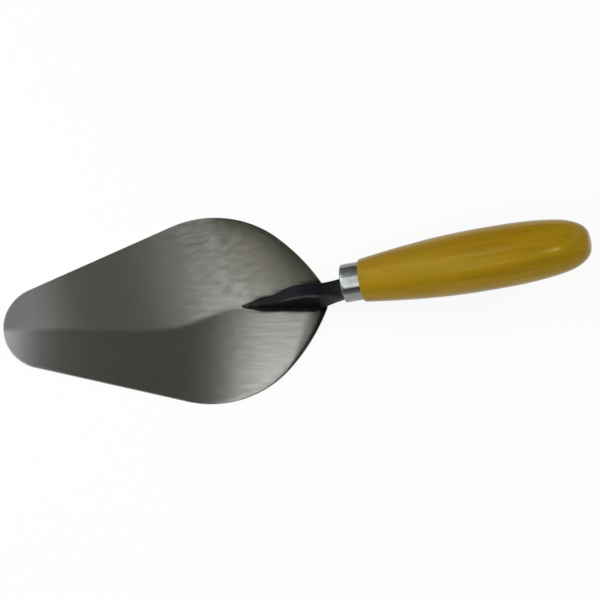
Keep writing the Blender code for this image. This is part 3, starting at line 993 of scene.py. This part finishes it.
# %% Ferrule
FERRULE_RADIUS = 0.0106
FERRULE_LENGTH = 0.0107
FERRULE_WALL = 0.0008
FRONT_ROUNDING = 0.0008
FERRULE_SWELL = 0.00005
REAR_BEVEL = 0.0002
LIP_DEPTH, LIP_BEVEL = 0.0008, 0.0001
SIDE_STEPS, ROUNDING_STEPS, ROUND_STEPS = 8, 6, 128
PLACE_ON_AXIS = Matrix.Translation(FERRULE_FRONT) @ Matrix.Rotation(HANDLE_TURN[1], 4, "Y")


def turn_on_lathe(profile, closed):
    """Spin a profile of (radius, height) points once round and lay it on the handle's axis."""
    bm = bmesh.new()
    verts = [bm.verts.new((radius, 0.0, height)) for radius, height in profile]
    chain = verts + verts[:1] if closed else verts
    for a, b in zip(chain, chain[1:]):
        bm.edges.new((a, b))
    bmesh.ops.spin(
        bm, geom=bm.verts[:] + bm.edges[:], cent=(0.0, 0.0, 0.0), axis=Z_AXIS,
        angle=2 * math.pi, steps=ROUND_STEPS, use_merge=True, use_duplicate=False,
    )
    bmesh.ops.remove_doubles(bm, verts=bm.verts, dist=0.000005)
    bmesh.ops.recalc_face_normals(bm, faces=bm.faces)
    bmesh.ops.transform(bm, matrix=PLACE_ON_AXIS, verts=bm.verts)
    return bm


def ferrule_profile():
    """Outside from the rear to the rounded front, the lip, and back up the bore."""
    profile = [(FERRULE_BORE, FERRULE_LENGTH), (FERRULE_RADIUS - REAR_BEVEL, FERRULE_LENGTH)]
    for i in range(SIDE_STEPS + 1):
        t = i / SIDE_STEPS
        swell = FERRULE_SWELL * math.sin(math.pi * t)
        profile.append((FERRULE_RADIUS + swell, mix(FERRULE_LENGTH - REAR_BEVEL, FRONT_ROUNDING, t)))
    for i in range(1, ROUNDING_STEPS + 1):
        turn = math.pi / 2 * i / ROUNDING_STEPS
        radius = FERRULE_RADIUS - FRONT_ROUNDING + FRONT_ROUNDING * math.cos(turn)
        profile.append((radius, FRONT_ROUNDING - FRONT_ROUNDING * math.sin(turn)))
    lip = FERRULE_BORE - LIP_DEPTH
    profile += [(lip + LIP_BEVEL, 0.0), (lip, LIP_BEVEL), (lip, FERRULE_WALL), (FERRULE_BORE, FERRULE_WALL)]
    return profile


ferrule_mesh = turn_on_lathe(ferrule_profile(), closed=True)
finish_piece(ferrule_mesh, "ferrule_sleeve", "ferrule", bright_steel)

# %% [markdown]
# ## Yellow varnished wood
#
# The handle is a pale hardwood under a yellow varnish. A picture of wood would show its edges on a round
# piece, so three layers of noise make the wood in depth: broad figure that runs the length of the handle,
# fine fibres stretched the same way, and slow cloudy changes in how thick the varnish lies. The varnish's
# soft shine is a weak reflection with a yellow tint.

# %% Varnished wood finish
FIGURE_STEPS = (95.0, 95.0, 5.0)
FIBRE_STEPS = (420.0, 420.0, 16.0)
CLOUD_SCALE = 42.0
WOOD = ((0.308, 0.186, 0.0055), (0.262, 0.150, 0.0045))
FIBRE_WOOD, FIBRE_SHARE = (0.190, 0.099, 0.004), 0.6
CLOUDED_WOOD, CLOUD_SHARE = (0.250, 0.158, 0.0045), 0.35
VARNISH_ROUGHNESS = (0.18, 0.25)
VARNISH_TINT = (1.0, 0.86, 0.32, 1.0)
FIBRE_RELIEF = 0.000007


def make_varnished_wood():
    """Pale hardwood under yellow varnish."""
    material, tree, shader = new_finish("yellow_varnished_wood")
    place = handle_place(tree)
    figure = noise(tree, turned_place(tree, place, per_metre=FIGURE_STEPS), distortion=0.6)
    fibres = noise(tree, turned_place(tree, place, per_metre=FIBRE_STEPS), detail=4.0, roughness=0.6)
    clouds = noise(tree, place, CLOUD_SCALE, detail=2.0)
    wood = blend_colours(tree, spread(tree, figure, 0.35, 0.65), *WOOD)
    wood = blend_colours(tree, spread(tree, fibres, 0.45, 0.75, 0.0, FIBRE_SHARE), wood, FIBRE_WOOD)
    wood = blend_colours(tree, spread(tree, clouds, 0.4, 0.7, 0.0, CLOUD_SHARE), wood, CLOUDED_WOOD)
    feed(tree, shader.inputs["Base Color"], wood)
    feed(tree, shader.inputs["Roughness"], spread(tree, fibres, 0.3, 0.7, *VARNISH_ROUGHNESS))
    shader.inputs["Specular IOR Level"].default_value = 0.22
    shader.inputs["Specular Tint"].default_value = VARNISH_TINT
    feed(tree, shader.inputs["Normal"], relief(tree, fibres, FIBRE_RELIEF))
    return material


varnished_wood = make_varnished_wood()
print("finish:", varnished_wood.name)

# %% [markdown]
# ## The handle
#
# The handle is turned too: a barrel that swells towards the rear, a rounded butt, and in front a spigot
# that the ferrule hides. The tang needs a hole, and a hole that tapers off the axis can't be spun, so it is
# cut with a Boolean and the result is kept as a plain mesh.

# %% Handle
# Distance behind the shoulder, radius.
BARREL = (
    (0.0000, 0.0113),
    (0.0006, 0.0120),
    (0.0097, 0.0132),
    (0.0252, 0.0150),
    (0.0427, 0.0165),
    (0.0587, 0.0172),
    (0.0737, 0.0173),
    (0.0877, 0.0171),
    (0.1007, 0.0162),
    (0.1117, 0.0147),
    (0.1192, 0.0126),
    (0.1245, 0.0095),
    (0.1271, 0.0062),
    (0.1279, 0.0030),
)
BARREL_STEPS = 6
HOLE_LEAD = 0.0012


def handle_profile():
    """From the butt's middle along the barrel to the shoulder, then the spigot."""
    shoulder = FERRULE_LENGTH + CLEARANCE
    barrel = [(radius, shoulder + distance) for distance, radius in smooth_table(BARREL, BARREL_STEPS)]
    spigot = FERRULE_BORE - CLEARANCE
    front = FERRULE_WALL + CLEARANCE
    return [(0.0, barrel[-1][1])] + barrel[::-1] + [(spigot, shoulder), (spigot, front), (0.0, front)]


def cut_away(piece, cutter_mesh):
    """Cut a shape out of a piece and keep the result as its mesh."""
    mesh = bpy.data.meshes.new("cutter")
    cutter_mesh.to_mesh(mesh)
    cutter_mesh.free()
    cutter = bpy.data.objects.new("cutter", mesh)
    bpy.context.scene.collection.objects.link(cutter)
    cut = piece.modifiers.new("tang_hole", "BOOLEAN")
    cut.operation = "DIFFERENCE"
    cut.solver = "EXACT"
    cut.object = cutter
    result = bpy.data.meshes.new_from_object(piece.evaluated_get(bpy.context.evaluated_depsgraph_get()))
    piece.modifiers.clear()
    piece.data = result
    bpy.data.objects.remove(cutter, do_unlink=True)
    print(f"{piece.name}: {len(result.polygons)} faces after the cut")


handle_mesh = turn_on_lathe(handle_profile(), closed=False)
handle = finish_piece(handle_mesh, "handle_wood", "handle", varnished_wood)
cut_away(handle, draw_out(tang_sections(CLEARANCE, HOLE_LEAD)))

# %% [markdown]
# ## Floor, world and lamps
#
# The trowel lies on a plain pale floor, which is white to the camera and in reflections but still keeps the
# trowel's shadow. Steel looks like what it reflects, so the studio matters as much as the finish. Above the
# blade the world is dim, which makes the dark band across its middle, and two low lamps make its bright toe
# and heel. One small lamp gives the highlight on the butt, a wide one hangs high over the toe's side, and
# another lights the ferrule. The world is bright to the left and a little less to the right, so the wood
# and the enamel are lit evenly. It is dim on the camera's side, but for a faint low glow that the blade
# shows from behind.

# %% Floor
FLOOR_REACH = 30.0
FLOOR_LEVEL = -0.0002
FLOOR_GREY = 0.88
WHITE = (1.0, 1.0, 1.0)


def make_pale_floor():
    """A pale finish that is near white where it is seen and keeps the shadow."""
    material, tree, shader = new_finish("pale_floor")
    shader.inputs["Base Color"].default_value = (FLOOR_GREY, FLOOR_GREY, FLOOR_GREY, 1.0)
    shader.inputs["Roughness"].default_value = 0.9
    shader.inputs["Specular IOR Level"].default_value = 0.1
    path = tree.nodes.new("ShaderNodeLightPath")
    seen = sums(tree, "MAXIMUM", path.outputs["Is Camera Ray"], path.outputs["Is Glossy Ray"])
    seen = sums(tree, "MAXIMUM", seen, path.outputs["Is Transmission Ray"])
    glow = tree.nodes.new("ShaderNodeEmission")
    glow.inputs["Color"].default_value = (*WHITE, 1.0)
    both = tree.nodes.new("ShaderNodeMixShader")
    feed(tree, both.inputs[0], sums(tree, "MULTIPLY", seen, FLOOR_GREY))
    tree.links.new(shader.outputs["BSDF"], both.inputs[1])
    tree.links.new(glow.outputs["Emission"], both.inputs[2])
    output = next(n for n in tree.nodes if n.type == "OUTPUT_MATERIAL")
    tree.links.new(both.outputs["Shader"], output.inputs["Surface"])
    return material


def make_floor():
    """One big level face just under the blade."""
    bm = bmesh.new()
    bmesh.ops.create_grid(bm, x_segments=1, y_segments=1, size=FLOOR_REACH)
    mesh = bpy.data.meshes.new("floor")
    bm.to_mesh(mesh)
    bm.free()
    floor = bpy.data.objects.new("floor", mesh)
    floor.location.z = FLOOR_LEVEL
    floor.data.materials.append(make_pale_floor())
    bpy.context.scene.collection.objects.link(floor)
    return floor


print("floor:", make_floor().name)

# %% World
OVERHEAD, SIDEWAYS = 0.125, 1.45
CAMERA_SIDE, RIGHT_SIDE = 0.3, 0.72
LOW_GLOW = 0.30
OVERHEAD_TINT = (1.0, 1.02, 0.87)


def studio_strength(tree, x, y, z):
    """How bright the studio is in the direction x, y, z."""
    strength = spread(tree, sums(tree, "ABSOLUTE", x), 0.12, 0.75, OVERHEAD, SIDEWAYS)
    strength = sums(tree, "MULTIPLY", strength, spread(tree, y, -0.9, -0.2, CAMERA_SIDE, 1.0))
    strength = sums(tree, "MULTIPLY", strength, spread(tree, x, 0.3, 0.9, 1.0, RIGHT_SIDE))
    behind_camera = spread(tree, y, -0.97, -0.75, LOW_GLOW, 0.0)
    low_down = spread(tree, z, 0.25, 0.60, 1.0, 0.0)
    return sums(tree, "MAXIMUM", strength, sums(tree, "MULTIPLY", behind_camera, low_down))


def make_world():
    """Soft light that changes with the direction, and plain white to the camera."""
    world = bpy.data.worlds.new("studio")
    world.use_nodes = True
    tree = world.node_tree
    tree.nodes.clear()
    output = tree.nodes.new("ShaderNodeOutputWorld")
    background = tree.nodes.new("ShaderNodeBackground")
    tree.links.new(background.outputs["Background"], output.inputs["Surface"])
    direction = split_axes(tree, tree.nodes.new("ShaderNodeTexCoord").outputs["Generated"])
    strength = studio_strength(tree, *direction)
    seen = tree.nodes.new("ShaderNodeLightPath").outputs["Is Camera Ray"]
    feed(tree, background.inputs["Strength"], sums(tree, "MAXIMUM", strength, seen))
    tinted = spread(tree, sums(tree, "ABSOLUTE", direction["X"]), 0.1, 0.4)
    colour = blend_colours(tree, tinted, OVERHEAD_TINT, WHITE)
    feed(tree, background.inputs["Color"], blend_colours(tree, seen, colour, WHITE))
    bpy.context.scene.world = world
    return world


print("world:", make_world().name)

# %% Lamps
TOE_LAMP_COLOUR = (0.95, 0.97, 1.06)
LOW, HIGH = 0.45, 1.5


def soft_lamp(name, corner, far_corner, height, radiance, turn=0.0, colour=WHITE):
    """A flat lamp that hangs level and shines down, as bright as radiance wherever it is seen."""
    data = bpy.data.lights.new(name, "AREA")
    data.shape = "RECTANGLE"
    data.size = far_corner[0] - corner[0]
    data.size_y = far_corner[1] - corner[1]
    data.energy = radiance * math.pi * data.size * data.size_y
    data.color = colour
    lamp = bpy.data.objects.new(name, data)
    lamp.location = ((corner[0] + far_corner[0]) / 2, (corner[1] + far_corner[1]) / 2, height)
    lamp.rotation_euler.z = turn
    lamp.visible_camera = False
    bpy.context.scene.collection.objects.link(lamp)
    print(f"{name}: {data.size:.2f} x {data.size_y:.2f} m, {data.energy:.2f} W")


soft_lamp("lamp_over_heel", (-0.0026, 0.012), (0.055, 0.078), LOW, 7.3, BELT_LEAN_NEAR)
soft_lamp("lamp_beyond_toe", (-0.616, 0.018), (-0.137, 0.318), LOW, 1.74, BELT_LEAN_NEAR, TOE_LAMP_COLOUR)
soft_lamp("lamp_over_butt", (0.178, -0.26), (0.214, -0.205), LOW, 52.0)
soft_lamp("high_lamp", (-0.90, -0.95), (-0.40, 0.40), HIGH, 1.95)
soft_lamp("ferrule_lamp", (-0.78, -1.90), (-0.36, -0.66), HIGH, 2.9)

bpy.context.scene.view_settings.view_transform = "Standard"
